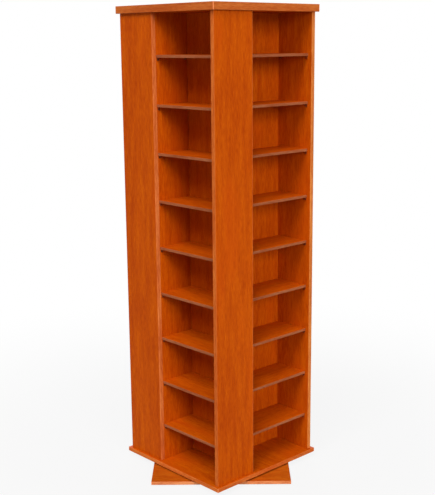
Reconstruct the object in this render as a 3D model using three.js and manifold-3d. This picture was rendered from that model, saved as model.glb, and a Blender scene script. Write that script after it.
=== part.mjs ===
// Rotating media tower.
//
// A square carcass stands between two slabs and turns on a ball bearing over a base board.
// In plan the carcass is a pinwheel: on each face a wide side panel and an open bay stand side
// by side, and behind each side panel a partition is the wall of one bay and the back of the
// next. All four quarters are alike, so one is built and turned four times round a hollow core.
//
// Millimetres, +Z up. The origin is on the floor, on the axis of the bearing.
import * as THREE from 'three';
import { mergeVertices } from 'three/addons/utils/BufferGeometryUtils.js';
import Module from 'manifold-3d';

const wasm = await Module();
wasm.setup();

// Driving sizes of the carcass
const carcassSide = 480;
const boardThickness = 16;
const boardHeight = 1612;
const bayDepth = 157;
const slabOverhang = 10.5;
const topPanelThickness = 25.4;
const bottomPanelThickness = 15;

// Shelves, counted from the top of each bay and spread evenly between its two end compartments
const shelvesPerBay = 9;
const shelfThickness = 9.5;
const shelfSetBack = 16;
const topCompartmentHeight = 140;
const bottomCompartmentHeight = 130;

// Base
const baseSide = 500;
const baseThickness = 12;
const baseTurnDegrees = 46.7;
const glideHeight = 4.5;
const glideRadius = 11;
const glideInset = 40;
const glideRounding = 2;

// Clearances and easings
const seam = 0.2;
const shelfEndClearance = 0.4;
const easedEdge = 0.8;
const shelfEasedEdge = 0.5;
const cutOverrun = 1;
const weldDistance = 0.001;

// Turntable bearing: two pressed rings and a cage of balls
const turntableHeight = 6;
const sheetThickness = 1.2;
const ringOuterRadius = 127;
const ringWidth = 47;
const ballCount = 24;
const ballClearance = 0.3;
const raceSpanDegrees = 50;
const shoulderReach = 6;
const lipStartReach = 6.5;
const lipRise = 2;
const lipReach = 14;
const rimReach = 17.5;
const rimBendRadius = 1.6;
const curlReach = 10.5;
const curlClearance = 0.6;
const cageThickness = 1;
const cageHalfWidth = 5;
const screwInset = 11;
const screwHoleRadius = 2.5;
const screwsPerRing = 8;
const accessHoleRadius = 9;

const ringSteps = 48;
const holeSteps = 10;
const ballSlices = 8;
const ballStacks = 6;
const bendSteps = 3;
const raceSteps = 4;
const glideSteps = 20;
const glideRoundingSteps = 3;

// Heights that follow from the sizes above
const baseBottom = glideHeight + seam;
const baseTop = baseBottom + baseThickness;
const turntableBottom = baseTop + seam;
const bottomPanelBottom = turntableBottom + turntableHeight + seam;
const bottomPanelTop = bottomPanelBottom + bottomPanelThickness;
const carcassBottom = bottomPanelTop + seam;
const carcassTop = carcassBottom + boardHeight;
const topPanelBottom = carcassTop + seam;
const firstShelfBottom = topPanelBottom - topCompartmentHeight - shelfThickness;
const lastShelfBottom = bottomPanelTop + bottomCompartmentHeight;
const shelfPitch = (firstShelfBottom - lastShelfBottom) / (shelvesPerBay - 1);

// Places in plan that follow from the sizes above
const half = carcassSide / 2;
const slabSide = carcassSide + 2 * slabOverhang;
const bayLeft = -half + bayDepth + boardThickness;
const bayRight = half - boardThickness;
const bayWidth = bayRight - bayLeft;
const ringInnerRadius = ringOuterRadius - ringWidth;
const screwCircleRadius = ringInnerRadius + screwInset;

const laminate = () => new THREE.MeshStandardMaterial({ color: 0xb9551a, roughness: 0.45, metalness: 0 });
const zincSteel = () => new THREE.MeshStandardMaterial({ color: 0x9b9d9c, roughness: 0.35, metalness: 1 });
const ballSteel = () => new THREE.MeshStandardMaterial({ color: 0xb8babb, roughness: 0.2, metalness: 1 });
const blackPlastic = () => new THREE.MeshStandardMaterial({ color: 0x1c1b1a, roughness: 0.6, metalness: 0 });

function named(name, geometry, material) {
  const mesh = new THREE.Mesh(geometry, material);
  mesh.name = name;
  return mesh;
}

function degrees(angle) {
  return THREE.MathUtils.degToRad(angle);
}

// Closed mesh to solid and back, for the holes that are drilled through a revolved sheet
function toSolid(geometry) {
  const bare = geometry.clone();
  bare.deleteAttribute('normal');
  bare.deleteAttribute('uv');
  const welded = mergeVertices(bare, weldDistance);
  return new wasm.Manifold(new wasm.Mesh({
    numProp: 3,
    vertProperties: new Float32Array(welded.attributes.position.array),
    triVerts: new Uint32Array(welded.index.array),
  }));
}

function toGeometry(solid) {
  const { vertProperties, triVerts } = solid.getMesh();
  const geometry = new THREE.BufferGeometry();
  geometry.setAttribute('position', new THREE.BufferAttribute(vertProperties, 3));
  geometry.setIndex(new THREE.BufferAttribute(triVerts, 1));
  const facets = geometry.toNonIndexed();
  facets.computeVertexNormals();
  return facets;
}

function cutFrom(solid, tools) {
  return tools.reduce((left, tool) => left.subtract(toSolid(tool)), solid);
}

// An upright cylinder that drills a hole from one height to another
function drill(radius, x, y, bottom, top) {
  const tool = new THREE.CylinderGeometry(radius, radius, top - bottom, holeSteps);
  tool.rotateX(degrees(90));
  tool.translate(x, y, (bottom + top) / 2);
  return tool;
}

// A board lying flat with its underside at zero: a rectangle with cut corners, extruded with
// an eased rim, so that every one of its edges is broken. `holes` are round and go through.
function boardGeometry(width, depth, thickness, ease, holes = []) {
  const x = width / 2;
  const y = depth / 2;
  const outline = new THREE.Shape();
  outline.moveTo(ease - x, -y);
  outline.lineTo(x - ease, -y);
  outline.lineTo(x, ease - y);
  outline.lineTo(x, y - ease);
  outline.lineTo(x - ease, y);
  outline.lineTo(ease - x, y);
  outline.lineTo(-x, y - ease);
  outline.lineTo(-x, ease - y);
  outline.closePath();
  for (const hole of holes) {
    const rim = new THREE.Path();
    rim.absarc(hole.x, hole.y, hole.radius, 0, 2 * Math.PI, true);
    outline.holes.push(rim);
  }
  const geometry = new THREE.ExtrudeGeometry(outline, {
    depth: thickness - 2 * ease,
    curveSegments: holeSteps,
    bevelThickness: ease,
    bevelSize: ease,
    bevelOffset: -ease,
    bevelSegments: 1,
  });
  geometry.translate(0, 0, ease);
  return geometry;
}

// One quarter: the front bay's shelves, the side panel on its right and the partition on its
// left. The partition butts against the back of the left-hand side panel, whose end it is
// flush with, reaches in past the hollow core and is also the back of the bay to the left.
function quarter(bay, turn) {
  const group = new THREE.Group();
  group.rotation.z = degrees(90 * turn);

  const panelWidth = bayDepth + boardThickness;
  const sidePanel = named(`side_panel_${bay}`,
    boardGeometry(boardThickness, panelWidth, boardHeight, easedEdge), laminate());
  sidePanel.position.set(half - boardThickness / 2, -half + panelWidth / 2, carcassBottom);

  const partitionFront = -half + boardThickness + seam;
  const partitionBack = -bayLeft - seam;
  const partition = named(`partition_${bay}`,
    boardGeometry(boardThickness, partitionBack - partitionFront, boardHeight, easedEdge), laminate());
  partition.position.set(bayLeft - boardThickness / 2, (partitionFront + partitionBack) / 2, carcassBottom);
  group.add(sidePanel, partition);

  const shelfWidth = bayWidth - 2 * shelfEndClearance;
  const shelfDepth = bayDepth - shelfSetBack - shelfEndClearance;
  for (let row = 1; row <= shelvesPerBay; row += 1) {
    const shelf = named(`shelf_${bay}_${row}`,
      boardGeometry(shelfWidth, shelfDepth, shelfThickness, shelfEasedEdge), laminate());
    shelf.position.set((bayLeft + bayRight) / 2, -half + shelfSetBack + shelfDepth / 2,
      firstShelfBottom - (row - 1) * shelfPitch);
    group.add(shelf);
  }
  return group;
}

// Points of an arc in a section, from one angle to another
function arc(x, y, radius, from, to, steps) {
  return Array.from({ length: steps + 1 }, (_, step) => {
    const angle = degrees(from + ((to - from) * step) / steps);
    return new THREE.Vector2(x + radius * Math.cos(angle), y + radius * Math.sin(angle));
  });
}

// The closed outline of a pressed sheet from its middle line, which runs outwards: down one
// side and back along the other, with each corner mitred to keep the thickness even.
function sheetOutline(middle, thickness) {
  const shifted = (side) => middle.map((point, index) => {
    const before = middle[Math.max(index - 1, 0)];
    const after = middle[Math.min(index + 1, middle.length - 1)];
    const incoming = (index === 0 ? after.clone().sub(point) : point.clone().sub(before)).normalize();
    const outgoing = (point === after ? point.clone().sub(before) : after.clone().sub(point)).normalize();
    const mitre = new THREE.Vector2(-incoming.y - outgoing.y, incoming.x + outgoing.x);
    const reach = thickness / (1 + incoming.dot(outgoing)) / 2;
    return point.clone().addScaledVector(mitre, side * reach);
  });
  const below = shifted(-1);
  const above = shifted(1).reverse();
  return [...below, ...above, below[0]];
}

function revolve(outline) {
  return new THREE.LatheGeometry(outline, ringSteps).rotateX(degrees(90));
}

// Heights inside the bearing, over the face that lies on the base board
const sheetMiddle = sheetThickness / 2;
const ballCircleRadius = ringOuterRadius - sheetMiddle - rimReach;
const ballRadius = turntableHeight / 2 - sheetThickness - ballClearance;
const ballHeight = turntableHeight / 2;
const raceMiddleRadius = ballRadius + ballClearance + sheetMiddle;
const shoulderSpread = raceMiddleRadius * Math.sin(degrees(raceSpanDegrees));
const shoulderHeight = ballHeight - raceMiddleRadius * Math.cos(degrees(raceSpanDegrees));
const curlMiddle = curlClearance + sheetMiddle;
const lipMiddle = curlMiddle + sheetThickness + curlClearance;

function section(reach, height) {
  return new THREE.Vector2(ballCircleRadius + reach, height);
}

// Holes for the screws, spaced evenly round the screw circle from a first angle
function screwHoles(firstAngle) {
  return Array.from({ length: screwsPerRing }, (_, index) => {
    const angle = degrees(firstAngle + (360 * index) / screwsPerRing);
    return drill(screwHoleRadius, screwCircleRadius * Math.cos(angle), screwCircleRadius * Math.sin(angle),
      -cutOverrun, turntableHeight + cutOverrun);
  });
}

// Lower ring: flat where it is screwed to the base board, a rounded race for the balls between
// two shoulders, and outside them a raised lip that the upper ring's rim is curled under.
function lowerRing() {
  const middle = [
    new THREE.Vector2(ringInnerRadius, sheetMiddle),
    section(-shoulderReach, sheetMiddle),
    ...arc(ballCircleRadius, ballHeight, raceMiddleRadius, -90 - raceSpanDegrees, -90 + raceSpanDegrees, raceSteps),
    section(lipStartReach, shoulderHeight),
    section(lipStartReach + lipRise, lipMiddle),
    section(lipReach, lipMiddle),
  ];
  const access = drill(accessHoleRadius, screwCircleRadius, 0, -cutOverrun, sheetThickness + cutOverrun);
  const firstAngle = 180 / screwsPerRing;
  const solid = toSolid(revolve(sheetOutline(middle, sheetThickness)));
  return named('turntable_lower_ring', toGeometry(cutFrom(solid, [access, ...screwHoles(firstAngle)])), zincSteel());
}

// Upper ring: the same race turned over, and a rim that is bent down and curled in under the
// lower ring's lip, which keeps the two together when the tower is lifted.
function upperRing() {
  const top = turntableHeight - sheetMiddle;
  const rim = ballCircleRadius + rimReach;
  const bend = rimBendRadius;
  const middle = [
    new THREE.Vector2(ringInnerRadius, top),
    section(-shoulderReach, top),
    ...arc(ballCircleRadius, ballHeight, raceMiddleRadius, 90 + raceSpanDegrees, 90 - raceSpanDegrees, raceSteps),
    section(shoulderReach, top),
    ...arc(rim - bend, top - bend, bend, 90, 0, bendSteps),
    ...arc(rim - bend, curlMiddle + bend, bend, 0, -90, bendSteps),
    section(curlReach, curlMiddle),
  ];
  const solid = toSolid(revolve(sheetOutline(middle, sheetThickness)));
  return named('turntable_upper_ring', toGeometry(cutFrom(solid, screwHoles(0))), zincSteel());
}

// Ball cage: a flat ring that holds the balls at even steps, half of each ball over it and
// half under it.
function ballCage() {
  const inner = ballCircleRadius - cageHalfWidth;
  const outer = ballCircleRadius + cageHalfWidth;
  const low = ballHeight - cageThickness / 2;
  const high = ballHeight + cageThickness / 2;
  const corners = [[inner, low], [outer, low], [outer, high], [inner, high], [inner, low]];
  let solid = toSolid(revolve(corners.map(([radius, height]) => new THREE.Vector2(radius, height))));
  for (let index = 0; index < ballCount; index += 1) {
    const ball = new THREE.SphereGeometry(ballRadius, ballSlices, ballStacks).rotateX(degrees(90));
    ball.translate(ballCircleRadius, 0, ballHeight);
    ball.rotateZ(degrees((360 * index) / ballCount));
    solid = solid.add(toSolid(ball));
  }
  return named('ball_cage', toGeometry(solid), ballSteel());
}

// A round glide with a flat sole, rounded at its foot
function glideGeometry() {
  const outline = [
    new THREE.Vector2(0, 0),
    ...arc(glideRadius - glideRounding, glideRounding, glideRounding, -90, 0, glideRoundingSteps),
    new THREE.Vector2(glideRadius, glideHeight),
    new THREE.Vector2(0, glideHeight),
  ];
  return new THREE.LatheGeometry(outline, glideSteps).rotateX(degrees(90));
}

// The base stands still, turned under the tower: a board on four glides, with the access hole
// through which the upper ring's screws are driven once the lower ring is on.
function base() {
  const group = new THREE.Group();
  group.rotation.z = degrees(baseTurnDegrees);
  const access = { x: screwCircleRadius, y: 0, radius: accessHoleRadius };
  const board = named('base_board',
    boardGeometry(baseSide, baseSide, baseThickness, easedEdge, [access]), laminate());
  board.position.z = baseBottom;
  group.add(board);
  const reach = baseSide / 2 - glideInset;
  const corners = { front: [-1, -1], right: [1, -1], back: [1, 1], left: [-1, 1] };
  for (const [place, [x, y]] of Object.entries(corners)) {
    const glide = named(`glide_${place}`, glideGeometry(), blackPlastic());
    glide.position.set(x * reach, y * reach, 0);
    group.add(glide);
  }
  const ring = lowerRing();
  ring.position.z = turntableBottom;
  group.add(ring);
  return group;
}

const tower = new THREE.Group();
tower.add(base());

const cage = ballCage();
cage.position.z = turntableBottom;
const ring = upperRing();
ring.position.z = turntableBottom;
tower.add(cage, ring);

const bottomPanel = named('bottom_panel',
  boardGeometry(slabSide, slabSide, bottomPanelThickness, easedEdge), laminate());
bottomPanel.position.z = bottomPanelBottom;
const topPanel = named('top_panel',
  boardGeometry(slabSide, slabSide, topPanelThickness, easedEdge), laminate());
topPanel.position.z = topPanelBottom;
tower.add(bottomPanel, topPanel);

['front', 'right', 'back', 'left'].forEach((bay, turn) => tower.add(quarter(bay, turn)));

export default tower;
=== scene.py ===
# %% [markdown]
# # Dressing a rotating media tower
# The tower is a tall square carcass of cherry laminate with an open bay of shelves on each of its
# four faces. It turns on a ball bearing over a thin base board. The solid model is finished, so
# this lesson adds what a maker would still see on the real one: the printed grain, the paler edge
# bands, the plating on the steel, the shelf supports and the screws.

import bpy
import numpy as np
from mathutils import Matrix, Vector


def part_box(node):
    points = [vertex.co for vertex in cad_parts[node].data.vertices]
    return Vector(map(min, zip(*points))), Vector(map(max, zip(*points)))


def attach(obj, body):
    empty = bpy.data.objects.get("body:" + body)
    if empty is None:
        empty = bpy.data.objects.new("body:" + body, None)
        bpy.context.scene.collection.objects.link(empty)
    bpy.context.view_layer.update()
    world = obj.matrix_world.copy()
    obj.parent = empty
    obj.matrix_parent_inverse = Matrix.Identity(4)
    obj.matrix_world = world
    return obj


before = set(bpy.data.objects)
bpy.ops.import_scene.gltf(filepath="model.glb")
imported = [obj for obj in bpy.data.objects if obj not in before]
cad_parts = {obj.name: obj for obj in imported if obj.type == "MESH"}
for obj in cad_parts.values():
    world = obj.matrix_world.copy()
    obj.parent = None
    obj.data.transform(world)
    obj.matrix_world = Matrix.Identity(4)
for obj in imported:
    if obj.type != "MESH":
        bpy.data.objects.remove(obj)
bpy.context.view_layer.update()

# %% [markdown]
# ## Places on the boards
# Every size is in metres. The places that the new pieces and patterns need are measured from the
# solids, so that a support or a screw lands on a real face. All four quarters of the tower are
# alike, so only the front one is measured and the others are turned copies of it.

# %% Measure the front quarter
bays = ["front", "right", "back", "left"]
shelf_rows = range(1, 10)
carcass_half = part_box("side_panel_front")[1].x
panel_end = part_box("side_panel_front")[1].y
right_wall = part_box("side_panel_front")[0].x
left_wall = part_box("partition_front")[1].x
back_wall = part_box("partition_right")[0].y
shelf_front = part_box("shelf_front_1")[0].y
shelf_undersides = np.array([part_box(f"shelf_front_{row}")[0].z for row in shelf_rows])
slab_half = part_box("top_panel")[1].x
print("A bay is", round(1000 * (right_wall - left_wall)), "mm wide and",
      round(1000 * (back_wall + carcass_half)), "mm deep")

# %% [markdown]
# ## Camera
# The camera stands where the photograph was taken from: at about eye height, some three and a half
# metres away, looking down on the front corner. Its place and lens come from fitting the tower's own
# straight edges. A camera in Blender looks along its own -Z axis with +Y up, so the three directions
# worked out below become the columns of its matrix.

# %% Place the camera
azimuth, pitch, roll = np.radians([47.0487, 12.1088, -0.5501])
eye = [2.5070, -2.3429, 1.5539]
forward = np.array([-np.sin(azimuth) * np.cos(pitch), np.cos(azimuth) * np.cos(pitch), -np.sin(pitch)])
level_right = np.array([np.cos(azimuth), np.sin(azimuth), 0.0])
level_up = np.cross(level_right, forward)

camera = bpy.data.objects.new("camera", bpy.data.cameras.new("camera"))
bpy.context.scene.collection.objects.link(camera)
bpy.context.scene.camera = camera
camera.data.lens = 69.917
camera.data.sensor_width = 36
pose = np.eye(4)
pose[:3, 0] = np.cos(roll) * level_right + np.sin(roll) * level_up
pose[:3, 1] = np.cos(roll) * level_up - np.sin(roll) * level_right
pose[:3, 2] = -forward
pose[:3, 3] = eye
camera.matrix_world = Matrix(pose.tolist())
bpy.context.scene.view_settings.view_transform = "Standard"
print("The camera looks down by", round(float(np.degrees(pitch)), 1), "degrees")

# %% [markdown]
# ## A helper for shader arithmetic
# A material is a graph of nodes. Masks and patterns in it are sums and products of numbers, and
# those are easier to read as arithmetic than as wiring. This class wraps one output socket: `+`, `-`
# and `*` on it add a Math node, and `node` adds any other node from its type, its settings and what
# goes into its sockets.

# %% Wrap a socket
class Wire:
    """An output socket of a material's node tree, with arithmetic on it."""

    def __init__(self, tree, socket=None):
        self.tree = tree
        self.socket = socket

    def node(self, kind, settings=None, sockets=None, out=0):
        """Adds a node: first its settings, then the value or link of each socket."""
        made = self.tree.nodes.new(kind)
        for name, value in (settings or {}).items():
            if name == "stops":
                stops = made.color_ramp.elements
                while len(stops) < len(value):
                    stops.new(0.5)
                for stop, (position, colour) in zip(stops, value):
                    stop.position = position
                    stop.color = colour
            else:
                setattr(made, name, value)
        for key, value in (sockets or {}).items():
            if isinstance(value, Wire):
                self.tree.links.new(value.socket, made.inputs[key])
            else:
                made.inputs[key].default_value = value
        return Wire(self.tree, made.outputs[out] if made.outputs else None)

    def math(self, operation, *others):
        """A Math node with this socket as its first input."""
        return self.node("ShaderNodeMath", {"operation": operation}, dict(enumerate((self, *others))))

    def __add__(self, other):
        return self.math("ADD", other)

    def __sub__(self, other):
        return self.math("SUBTRACT", other)

    def __mul__(self, other):
        return self.math("MULTIPLY", other)

    def __rsub__(self, other):
        return self.node("ShaderNodeMath", {"operation": "SUBTRACT"}, {0: other, 1: self})

    __radd__ = __add__
    __rmul__ = __mul__

    def climb(self, low, high):
        """0 below low, 1 above high and a smooth climb between them."""
        return self.node("ShaderNodeMapRange", {"interpolation_type": "SMOOTHSTEP"},
                         {"Value": self, "From Min": low, "From Max": high})

    def tint(self, without, full):
        """A mix of two colours, with this mask as its factor."""
        return self.node("ShaderNodeMix", {"data_type": "RGBA"}, {0: self, 6: without, 7: full}, out=2)

    def axes(self):
        """The X, Y and Z of a vector."""
        split = self.node("ShaderNodeSeparateXYZ", {}, {0: self}).socket.node.outputs
        return [Wire(self.tree, split[axis]) for axis in range(3)]


def start_material(name):
    """An empty material, and a Wire to add its nodes with."""
    material = bpy.data.materials.new(name)
    material.use_nodes = True
    material.node_tree.nodes.clear()
    return material, Wire(material.node_tree)


def tone(red, green, blue):
    return (red, green, blue, 1.0)


print("Beside arithmetic, a Wire has", [name for name in vars(Wire) if not name.startswith("_")])

# %% [markdown]
# ## Floor and background
# The photograph is cut out on white. Here a pale floor keeps the tower's soft shadow, so that it
# stands somewhere, and runs into the same white farther out. Only the camera and reflections see the
# world and the far floor as white: what they give the tower as light stays at a plain level.

# %% Lay the floor and light the world
floor_radius = 60
shadow_ends_from, shadow_ends_by = 0.5, 2.4
white_share_near = 0.88
floor_tone = 0.40
world_level = 0.22


def flat_disc(name, radius, steps=96):
    """A fan of triangles round the origin. Its rim is radius * (cos a, sin a, 0)."""
    angle = np.linspace(0, 2 * np.pi, steps, endpoint=False)
    rim = radius * np.column_stack([np.cos(angle), np.sin(angle), 0 * angle])
    first = np.arange(steps)
    faces = np.column_stack([0 * first, 1 + first, 1 + (first + 1) % steps])
    mesh = bpy.data.meshes.new(name)
    mesh.from_pydata(np.vstack([np.zeros((1, 3)), rim]).tolist(), [], faces.tolist())
    disc = bpy.data.objects.new(name, mesh)
    bpy.context.scene.collection.objects.link(disc)
    return disc


def seen_directly(wire):
    """1 where the ray comes from the camera, a reflection or through glass, and else 0."""
    rays = wire.node("ShaderNodeLightPath").socket.node.outputs
    camera_ray, glossy, clear = [Wire(wire.tree, rays[name]) for name in
                                 ("Is Camera Ray", "Is Glossy Ray", "Is Transmission Ray")]
    return (camera_ray + glossy + clear).math("MINIMUM", 1.0)


floor = flat_disc("floor", floor_radius)
floor_paint, wire = start_material("pale_floor")
spot = wire.node("ShaderNodeTexCoord", out=3)
from_middle = spot.node("ShaderNodeVectorMath", {"operation": "LENGTH"}, {0: spot}, out=1)
far = from_middle.climb(shadow_ends_from, shadow_ends_by)
matt = wire.node("ShaderNodeBsdfDiffuse", {}, {"Color": tone(floor_tone, floor_tone, floor_tone)})
white = wire.node("ShaderNodeEmission", {}, {"Color": tone(1, 1, 1), "Strength": 1.0})
floor_mix = seen_directly(wire) * (white_share_near + (1 - white_share_near) * far)
floor_shader = wire.node("ShaderNodeMixShader", {}, {0: floor_mix, 1: matt, 2: white})
wire.node("ShaderNodeOutputMaterial", {}, {"Surface": floor_shader})
floor.data.materials.append(floor_paint)

world = bpy.data.worlds.new("studio")
bpy.context.scene.world = world
world.use_nodes = True
world.node_tree.nodes.clear()
wire = Wire(world.node_tree)
soft = wire.node("ShaderNodeBackground", {}, {"Color": tone(1, 1, 1), "Strength": world_level})
plain_white = wire.node("ShaderNodeBackground", {}, {"Color": tone(1, 1, 1), "Strength": 1.0})
backdrop = wire.node("ShaderNodeMixShader", {}, {0: seen_directly(wire), 1: soft, 2: plain_white})
wire.node("ShaderNodeOutputWorld", {}, {"Surface": backdrop})
print("The floor reaches", floor_radius, "m out and the world is white to the camera")

# %% [markdown]
# ## Lamps
# In the photograph both faces are lit almost alike, the right one a little more. The soft shadows
# under the shelves tell where the light comes from: steeply down into the front bays, and low and
# far into the right-hand ones. So a large soft lamp hangs high before the front face, and a smaller,
# lower one stands far round to the right. A third, low behind the tower, keeps its back faces from
# going dark. All are far away, so that the foot of the tower gets as much light as its head.

# %% Hang the lamps
tower_middle = np.array([0.0, 0.0, 0.84])
lamp_distance = 40.0


def soft_lamp(name, side_angle, lift_angle, width, level):
    """A square lamp aimed at the tower's middle, from angles in degrees round and over it.

    A face square to it is lit to `level` times its own colour: power = level * (pi * distance)**2.
    """
    a, e = np.radians([side_angle, lift_angle])
    back = np.array([np.sin(a) * np.cos(e), -np.cos(a) * np.cos(e), np.sin(e)])
    across = np.array([np.cos(a), np.sin(a), 0.0])
    lamp = bpy.data.objects.new(name, bpy.data.lights.new(name, "AREA"))
    lamp.data.size = width
    lamp.data.energy = level * (np.pi * lamp_distance) ** 2
    stand = np.eye(4)
    stand[:3, :3] = np.column_stack([across, np.cross(back, across), back])
    stand[:3, 3] = tower_middle + lamp_distance * back
    lamp.matrix_world = Matrix(stand.tolist())
    bpy.context.scene.collection.objects.link(lamp)


soft_lamp("high_lamp", side_angle=25.0, lift_angle=50.0, width=24.0, level=0.96)
soft_lamp("low_lamp", side_angle=72.0, lift_angle=18.0, width=16.0, level=0.59)
soft_lamp("back_lamp", side_angle=227.0, lift_angle=20.0, width=20.0, level=0.46)
print("Lamps:", [f"{lamp.name} {lamp.energy:.0f} W" for lamp in bpy.data.lights])

# %% [markdown]
# ## Cherry laminate
# The boards are particle board under a printed cherry laminate: an even orange-brown with short fine
# streaks along the grain, and broad, faint drifts of redder and yellower wood. A print like this
# could be an image, but noise drawn out along the grain gives it at any size and needs no file. A
# streak is noise whose space is squeezed along the grain, so that each blotch becomes a line.

# %% Draw the grain
def dark_plain_pale(red, green, blue):
    """Three tones of a wood: as it grows darker it also grows redder."""
    return [tone(0.81 * red, 0.66 * green, 0.60 * blue), tone(red, green, blue),
            tone(1.16 * red, 1.42 * green, 1.60 * blue)]


face_tones = dark_plain_pale(0.490, 0.072, 0.0008)
# The base board's top uses a yellower, less red copy of the face tones; the difference is painted sheen.
base_face_sheen_tones = dark_plain_pale(0.465, 0.086, 0.0036)
band_tones = dark_plain_pale(0.515, 0.106, 0.0160)
pale_band_tones = dark_plain_pale(0.590, 0.165, 0.0320)
end_band_tones = dark_plain_pale(0.585, 0.134, 0.0290)
slab_band_tones = dark_plain_pale(0.465, 0.101, 0.0165)
foot_band_tones = dark_plain_pale(0.560, 0.120, 0.0190)
base_band_tones = dark_plain_pale(0.600, 0.188, 0.0650)
shelf_band_tones = dark_plain_pale(0.315, 0.087, 0.0320)
redder_tone = tone(0.50, 0.054, 0.0010)
fleck_tone = tone(0.33, 0.030, 0.0010)
pore_tone = tone(0.30, 0.030, 0.0010)
tone_stops = [0.37, 0.50, 0.63]
seed_step = np.array([7.3, 3.1, 5.7])


def streaks(grain, shift, across, along, detail=2.0):
    """Noise on a space whose Z runs with the grain: streaks of about across by along metres."""
    drawn = grain.node("ShaderNodeMapping", {}, {
        "Vector": grain, "Location": shift, "Scale": (1 / across, 1 / across, 1 / along)})
    return drawn.node("ShaderNodeTexNoise", {}, {"Vector": drawn, "Scale": 1.0, "Detail": detail})


def in_tones(figure, tones):
    """Colours a figure of about 0.5 with a dark, a plain and a pale tone."""
    return figure.node("ShaderNodeValToRGB", {"stops": list(zip(tone_stops, tones))}, {0: figure})


def laminate_shader(wire, grain, seed, bands=(), tones=face_tones, patches=()):
    """The laminate, on a space whose Z runs with the grain. The seed moves its pattern.

    A band is a mask that is 1 on an edge band, with that band's three tones. A patch is a mask with
    the one colour that it lays over the laminate, and it is rougher.
    """
    shift = (seed_step * seed).tolist()
    fine = streaks(grain, shift, across=0.0028, along=0.024)
    broad = streaks(grain, shift, across=0.016, along=0.13, detail=1.0)
    drift = streaks(grain, shift, across=0.075, along=0.40, detail=1.0)
    flecks = streaks(grain, shift[::-1], across=0.0034, along=0.030, detail=1.0).climb(0.68, 0.76)
    pores = streaks(grain, shift, across=0.0007, along=0.009).climb(0.60, 0.70)
    figure = fine * 0.50 + broad * 0.32 + drift * 0.18
    redder = drift.climb(0.50, 0.72) * 0.4
    surface = redder.tint(in_tones(figure, tones), redder_tone)
    for mask, own_tones in bands:
        surface = mask.tint(surface, in_tones(figure, own_tones))
    surface = (flecks * 0.45).tint(surface, fleck_tone)
    surface = (pores * 0.30).tint(surface, pore_tone)
    rough = 0.44 + 0.10 * broad + 0.06 * pores
    for mask, colour in patches:
        surface = mask.tint(surface, colour)
        rough = rough + mask * 0.3
    bump = wire.node("ShaderNodeBump", {}, {
        "Strength": 0.25, "Distance": 0.0002, "Height": fine - pores})
    shader = wire.node("ShaderNodeBsdfPrincipled", {}, {
        "Base Color": surface, "Roughness": rough, "Normal": bump,
        "Specular IOR Level": 0.035})
    wire.node("ShaderNodeOutputMaterial", {}, {"Surface": shader})


print("The plain tone of the faces is", face_tones[1][:3], "and of the edge bands", band_tones[1][:3])

# %% [markdown]
# ## Upright boards
# On the side panels the grain is upright, and the front edge and the end that shows beside the next
# bay carry a band of paler laminate. A band is a thin strip, glued on, so its rim shows as a pale
# line at the corner: less than a millimetre wide at the front, and about 2 mm at the end. The
# photograph shows the front band of the right-hand panel as the palest. Masks by place give all
# this. Each bay's pattern is turned back to the front bay first, and a seed keeps the four from being
# alike. The partitions between the bays have no edge that shows, and so no band.

# %% Dress the side panels and partitions
band_thickness = 0.0008
end_band_thickness = 0.0020


def bay_space(wire, turn):
    """Object coordinates turned back by a number of quarter turns about the tower's axis."""
    spot = wire.node("ShaderNodeTexCoord", out=3)
    return spot.node("ShaderNodeMapping", {}, {"Vector": spot, "Rotation": (0, 0, -turn * np.pi / 2)})


def paint(node, material):
    """Gives a solid one material, in place of those that it was loaded with."""
    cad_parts[node].data.materials.clear()
    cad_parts[node].data.materials.append(material)


for turn, bay in enumerate(bays):
    material, wire = start_material(f"side_panel_laminate_{bay}")
    grain = bay_space(wire, turn)
    y = grain.axes()[1]
    front = 1 - y.climb(-carcass_half + 0.9 * band_thickness, -carcass_half + 1.1 * band_thickness)
    end = y.climb(panel_end - 1.1 * end_band_thickness, panel_end - 0.9 * end_band_thickness)
    front_tones = pale_band_tones if bay == "right" else band_tones
    laminate_shader(wire, grain, 1 + turn, bands=[(front, front_tones), (end, end_band_tones)])
    paint(f"side_panel_{bay}", material)

    material, wire = start_material(f"partition_laminate_{bay}")
    laminate_shader(wire, bay_space(wire, turn), 11 + turn)
    paint(f"partition_{bay}", material)
print("Dressed", 2 * len(bays), "upright boards")

# %% [markdown]
# ## Shelves
# A shelf is cut from the same board with its grain running from wall to wall, and only its front
# edge is banded. The pattern's space is tipped over so that its Z runs across the bay. The shelves
# lie at different heights in the noise, so no two are alike.

# %% Dress the shelves
for turn, bay in enumerate(bays):
    material, wire = start_material(f"shelf_laminate_{bay}")
    place = bay_space(wire, turn)
    y = place.axes()[1]
    front = 1 - y.climb(shelf_front + 0.9 * band_thickness, shelf_front + 1.1 * band_thickness)
    across = place.node("ShaderNodeMapping", {}, {"Vector": place, "Rotation": (0, np.pi / 2, 0)})
    laminate_shader(wire, across, 21 + turn, bands=[(front, shelf_band_tones)])
    for row in shelf_rows:
        paint(f"shelf_{bay}_{row}", material)
print("Dressed", len(shelf_rows) * len(bays), "shelves")

# %% [markdown]
# ## Slabs and base board
# The three square boards are banded on all four edges, and each band's grain runs along its own
# edge. So the pattern swaps X and Y where a point lies nearer to an X edge than to a Y edge. Where
# two bands meet, a pale strip down the corner is painted highlight, as if the eased corner caught the
# light. The base board stands turned under the tower, and has one hole through which the bearing's
# upper screws are driven. Inside the hole the bare particle board shows.

# %% Dress the square boards
base_turn = np.radians(46.7)
base_half = 0.250
screw_circle = 0.091
access_hole_radius = 0.009
# Width and tone of the highlight painted down each corner where two bands meet.
corner_highlight_width = 0.0034
corner_highlight_tone = tone(0.78, 0.24, 0.085)
dark_chip, pale_chip = tone(0.24, 0.15, 0.08), tone(0.52, 0.38, 0.24)
chips_per_metre = 900.0


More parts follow.
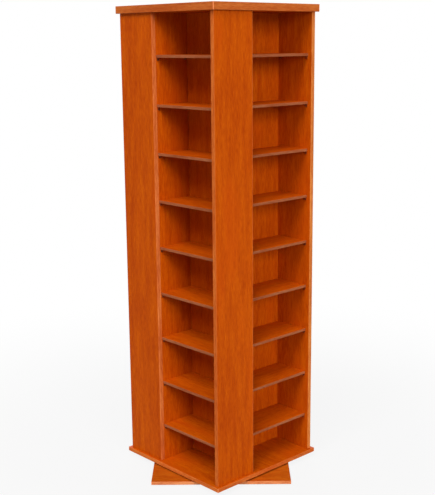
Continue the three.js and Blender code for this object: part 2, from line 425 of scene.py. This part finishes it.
def square_board(name, turn, side_half, seed, edge_tones, tones=face_tones, hole_radius=None):
    """Laminate for a square board turned about the tower's axis, banded on all four edges.

    A hole lies on the board's own X axis, on the screws' circle. Its wall is given the colour of
    particle board, out to just past the radius of the hole.
    """
    material, wire = start_material(f"{name}_laminate")
    spot = wire.node("ShaderNodeTexCoord", out=3)
    place = spot.node("ShaderNodeMapping", {}, {"Vector": spot, "Rotation": (0, 0, -turn)})
    x, y, z = place.axes()
    from_x, from_y = x.math("ABSOLUTE"), y.math("ABSOLUTE")
    reach = from_x.math("MAXIMUM", from_y)
    band = reach.climb(side_half - 1.1 * band_thickness, side_half - 0.9 * band_thickness)
    swap = band * from_x.math("GREATER_THAN", from_y)
    along = x + swap * (y - x)
    beside = y + swap * (x - y)
    grain = wire.node("ShaderNodeCombineXYZ", {}, {"X": beside, "Y": z, "Z": along})
    # This corner mask paints a pale highlight down each corner, laid on as a rougher patch.
    corner = from_x.math("MINIMUM", from_y).climb(side_half - corner_highlight_width, side_half - band_thickness)
    patches = [(corner, corner_highlight_tone)]
    if hole_radius is not None:
        aside = x - screw_circle
        from_hole = (aside * aside + y * y).math("SQRT")
        inside = 1 - from_hole.climb(hole_radius + 0.0002, hole_radius + 0.0006)
        chips = spot.node("ShaderNodeTexVoronoi", {}, {"Vector": spot, "Scale": chips_per_metre})
        patches.append((inside, chips.tint(dark_chip, pale_chip)))
    laminate_shader(wire, grain, seed, [(band, edge_tones)], tones, patches)
    paint(name, material)


square_board("top_panel", 0, slab_half, 31, slab_band_tones)
square_board("bottom_panel", 0, slab_half, 32, foot_band_tones)
# The base board's own face tones paint in a sheen on its top.
square_board("base_board", base_turn, base_half, 33, base_band_tones, base_face_sheen_tones, access_hole_radius)
print("Dressed the top panel, the bottom panel and the base board")

# %% [markdown]
# ## Bearing, glides and other hardware finishes
# The two rings are pressed from zinc plated sheet: bright, slightly blotchy, with faint rings where
# the sheet was drawn over the tool. The balls are polished, and their cage is plain rolled steel. The
# supports and screws have a dull bronze finish, and the glides are moulded black nylon, scuffed
# where they stand on the floor.

# %% Dress the metal and the plastic
def metal(name, base, dull, rough, line_width, blotch):
    """Metal with drawn lines round the tower's axis, and blotches that dull it a little.

    The lines are noise on the distance from the axis, sqrt(x*x + y*y).
    """
    material, wire = start_material(name)
    spot = wire.node("ShaderNodeTexCoord", out=3)
    x, y = spot.axes()[:2]
    radius = (x * x + y * y).math("SQRT")
    lines = radius.node("ShaderNodeTexNoise", {"noise_dimensions": "1D"},
                        {"W": radius, "Scale": 1 / line_width, "Detail": 2.0})
    cloud = spot.node("ShaderNodeTexNoise", {}, {"Vector": spot, "Scale": 1 / blotch, "Detail": 3.0})
    worn = cloud.climb(0.42, 0.66)
    bump = wire.node("ShaderNodeBump", {}, {"Strength": 0.15, "Distance": 0.0001, "Height": lines})
    shader = wire.node("ShaderNodeBsdfPrincipled", {}, {
        "Base Color": worn.tint(base, dull), "Metallic": 1.0,
        "Roughness": rough + 0.14 * worn + 0.06 * lines, "Normal": bump})
    wire.node("ShaderNodeOutputMaterial", {}, {"Surface": shader})
    return material


zinc_sheet = metal("zinc_plated_sheet", tone(0.64, 0.65, 0.66), tone(0.55, 0.555, 0.54),
                   rough=0.28, line_width=0.0008, blotch=0.014)
ball_steel = metal("ball_and_cage_steel", tone(0.60, 0.60, 0.61), tone(0.42, 0.41, 0.40),
                   rough=0.14, line_width=0.0020, blotch=0.006)
bronze_steel = metal("bronzed_steel", tone(0.42, 0.27, 0.17), tone(0.22, 0.13, 0.08),
                     rough=0.30, line_width=0.0006, blotch=0.003)
for ring in ("turntable_lower_ring", "turntable_upper_ring"):
    paint(ring, zinc_sheet)
paint("ball_cage", ball_steel)

nylon_tone, scuffed_tone = tone(0.018, 0.018, 0.019), tone(0.09, 0.088, 0.085)
nylon, wire = start_material("black_nylon")
spot = wire.node("ShaderNodeTexCoord", out=3)
speckle = spot.node("ShaderNodeTexNoise", {}, {"Vector": spot, "Scale": 1400.0, "Detail": 2.0})
unscuffed = spot.axes()[2].climb(0.0, 0.0012)
bump = wire.node("ShaderNodeBump", {}, {"Strength": 0.3, "Distance": 0.0001, "Height": speckle})
shader = wire.node("ShaderNodeBsdfPrincipled", {}, {
    "Base Color": unscuffed.tint(scuffed_tone, nylon_tone),
    "Roughness": 0.66 - 0.16 * unscuffed + 0.08 * speckle, "Normal": bump})
wire.node("ShaderNodeOutputMaterial", {}, {"Surface": shader})
for bay in bays:
    paint(f"glide_{bay}", nylon)
print("Materials so far:", len(bpy.data.materials))

# %% [markdown]
# ## Shelf supports
# Each shelf lies on four small supports, two at each end. On the real tower a support is a little
# bracket with a pin behind it that pushes into a hole in the wall, so the shelves can be moved. Only
# the bracket shows. Its side view is a profile, flat on top and against the wall with a hollow curve
# between, and it is carried a few millimetres along the wall. All copies of one bay are one mesh.

# %% Make the supports
support_reach = 0.008
support_drop = 0.010
support_width = 0.009
support_sheet = 0.0012
support_gap = 0.00005
front_inset, back_inset = 0.003, 0.006


def support_profile(steps=6):
    """Side view of a support as (out from the wall, height): a hollow curve joins two flat legs.

    The curve is out = sheet + (reach - sheet) * (1 - s)**2 and down = sheet + (drop - sheet) * s**2.
    """
    s = np.linspace(0, 1, steps)
    out = support_sheet + (support_reach - support_sheet) * (1 - s) ** 2
    height = -support_sheet - (support_drop - support_sheet) * s ** 2
    corner = np.array([[support_gap, -support_gap], [support_reach, -support_gap]])
    foot = np.array([[support_gap, -support_drop]])
    return np.vstack([corner, np.column_stack([out, height]), foot])


def swept_copies(name, profile, spans, outward, places):
    """Carries a closed profile along Y at each place, and makes one mesh of all the copies.

    A point is (place.x + outward * profile.out, place.y + span, place.z + profile.height).
    """
    count = len(profile)
    one = np.vstack([np.column_stack([profile[:, 0], 0 * profile[:, 0] + span, profile[:, 1]])
                     for span in spans])
    facing = np.column_stack([outward, 1 + 0 * outward, 1 + 0 * outward])
    points = (one * facing[:, None, :] + places[:, None, :]).reshape(-1, 3)
    first = np.arange(count)
    after = (first + 1) % count
    side = np.column_stack([first, after, after + count, first + count])
    loops = [*side, first[::-1], first + count]
    faces = []
    for copy, sign in enumerate(outward):
        base = copy * len(one)
        faces += [(loop + base)[::1 if sign > 0 else -1].tolist() for loop in loops]
    mesh = bpy.data.meshes.new(name)
    mesh.from_pydata(points.tolist(), [], faces)
    return mesh


def quarter_turned(points, turn):
    """Turns points by quarter turns about the Z axis: (x, y) becomes (-y, x) at each."""
    angle = turn * np.pi / 2
    c, s = np.round(np.cos(angle)), np.round(np.sin(angle))
    return points @ np.array([[c, s, 0], [-s, c, 0], [0, 0, 1]])


def tower_piece(name, mesh, turn, body="tower"):
    """Turns a mesh to its bay, gives it the bronze finish and lets it ride on a body."""
    points = np.empty(3 * len(mesh.vertices))
    mesh.vertices.foreach_get("co", points)
    mesh.vertices.foreach_set("co", quarter_turned(points.reshape(-1, 3), turn).ravel())
    mesh.materials.append(bronze_steel)
    mesh.update()
    piece = bpy.data.objects.new(name, mesh)
    bpy.context.scene.collection.objects.link(piece)
    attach(piece, body)


depths = np.array([shelf_front + front_inset, back_wall - back_inset - support_width])
x_grid, y_grid, z_grid = np.meshgrid([left_wall, right_wall], depths, shelf_undersides, indexing="ij")
support_places = np.column_stack([x_grid.ravel(), y_grid.ravel(), z_grid.ravel()])
support_sides = np.where(support_places[:, 0] < 0, 1.0, -1.0)
for turn, bay in enumerate(bays):
    name = f"shelf_supports_{bay}"
    mesh = swept_copies(name, support_profile(), [0.0, support_width], support_sides, support_places)
    tower_piece(name, mesh, turn)
print("Made", len(bays) * len(support_places), "supports of",
      len(mesh.polygons) // len(support_places), "faces each")

# %% [markdown]
# ## Screws
# Three sets of screws show: those that hold the two bearing rings, and those driven through each
# partition into the end of the next. All have a low domed head with a cross recess. The head is a
# surface in polar coordinates: rings of points run from the middle of its flat back, round the rim,
# over the dome and down into the recess. The rings of the recess follow a cross and not a circle.

# %% Make the screw heads
screws_per_ring = 8
ring_sheet = 0.0012
head_gap = 0.00005
screw_drop = 0.075


def cross_outline(angle, arm, width):
    """Distance from the middle to the edge of a cross, in the direction of an angle."""
    folded = np.abs((angle + np.pi / 4) % (np.pi / 2) - np.pi / 4)
    return np.minimum(arm / np.cos(folded), width / np.maximum(np.sin(folded), 1e-9))


def screw_head(radius, height, steps=32):
    """A grid of points, ring by ring, for a domed head on the plane z = 0 that faces +Z.

    On a round ring a point is (r cos a, r sin a, z). On a ring of the recess r is the cross's
    outline at the angle a.
    """
    angle = np.linspace(0, 2 * np.pi, steps, endpoint=False)
    around = np.ones(steps)
    cross = cross_outline(angle, 0.56 * radius, 0.13 * radius)
    floor_cross = cross_outline(angle, 0.44 * radius, 0.10 * radius)
    rings = [
        (0.02 * radius * around, 0.0), (radius * around, 0.0), (radius * around, 0.30 * height),
        (0.93 * radius * around, 0.62 * height), (0.80 * radius * around, 0.86 * height),
        (0.64 * radius * around, height), (cross, height), (floor_cross, 0.35 * height),
        (0.02 * radius * around, 0.35 * height),
    ]
    cos, sin = np.cos(angle), np.sin(angle)
    return np.stack([np.column_stack([r * cos, r * sin, z * around]) for r, z in rings])


def screws_mesh(name, head, turn_matrix, places):
    """One mesh of copies of a head: all are turned by a 3 by 3 matrix and moved to their places."""
    rows, steps = head.shape[:2]
    points = head @ turn_matrix.T + places[:, None, None, :]
    cell = np.arange(rows * steps).reshape(rows, steps)
    beside = np.roll(cell, -1, axis=1)
    quads = np.stack([cell[:-1], beside[:-1], beside[1:], cell[1:]], axis=-1).reshape(-1, 4)
    faces = []
    for copy in range(len(places)):
        base = copy * rows * steps
        faces += (quads + base).tolist()
        faces += [(cell[0][::-1] + base).tolist(), (cell[-1] + base).tolist()]
    mesh = bpy.data.meshes.new(name)
    mesh.from_pydata(points.reshape(-1, 3).tolist(), [], faces)
    return mesh


def screw_ring(name, first_angle, height, turn_matrix, body):
    """The heads on the bearing's screw circle: (r cos a, r sin a, height)."""
    angle = first_angle + np.arange(screws_per_ring) * 2 * np.pi / screws_per_ring
    places = np.column_stack([screw_circle * np.cos(angle), screw_circle * np.sin(angle),
                              height + 0 * angle])
    tower_piece(name, screws_mesh(name, ring_head, turn_matrix, places), 0, body)


ring_head = screw_head(radius=0.0040, height=0.0014)
partition_head = screw_head(radius=0.0045, height=0.0014)
upright = np.eye(3)
upside_down = np.diag([1.0, -1.0, -1.0])
out_of_wall = np.array([[1.0, 0, 0], [0, 0, -1.0], [0, 1.0, 0]])

lower_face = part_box("turntable_lower_ring")[0].z + ring_sheet + head_gap
upper_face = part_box("turntable_upper_ring")[1].z - ring_sheet - head_gap
screw_ring("lower_ring_screws", base_turn + np.pi / 8, lower_face, upright, "base")
screw_ring("upper_ring_screws", 0.0, upper_face, upside_down, "tower")

screw_heights = shelf_undersides[::2] - screw_drop
end_middle = -(left_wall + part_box("partition_front")[0].x) / 2
places = np.column_stack([end_middle + 0 * screw_heights, back_wall - head_gap + 0 * screw_heights,
                          screw_heights])
for turn, bay in enumerate(bays):
    name = f"partition_screws_{bay}"
    tower_piece(name, screws_mesh(name, partition_head, out_of_wall, places), turn)
print("Made", 2 * screws_per_ring + len(bays) * len(places), "screws")

# %% [markdown]
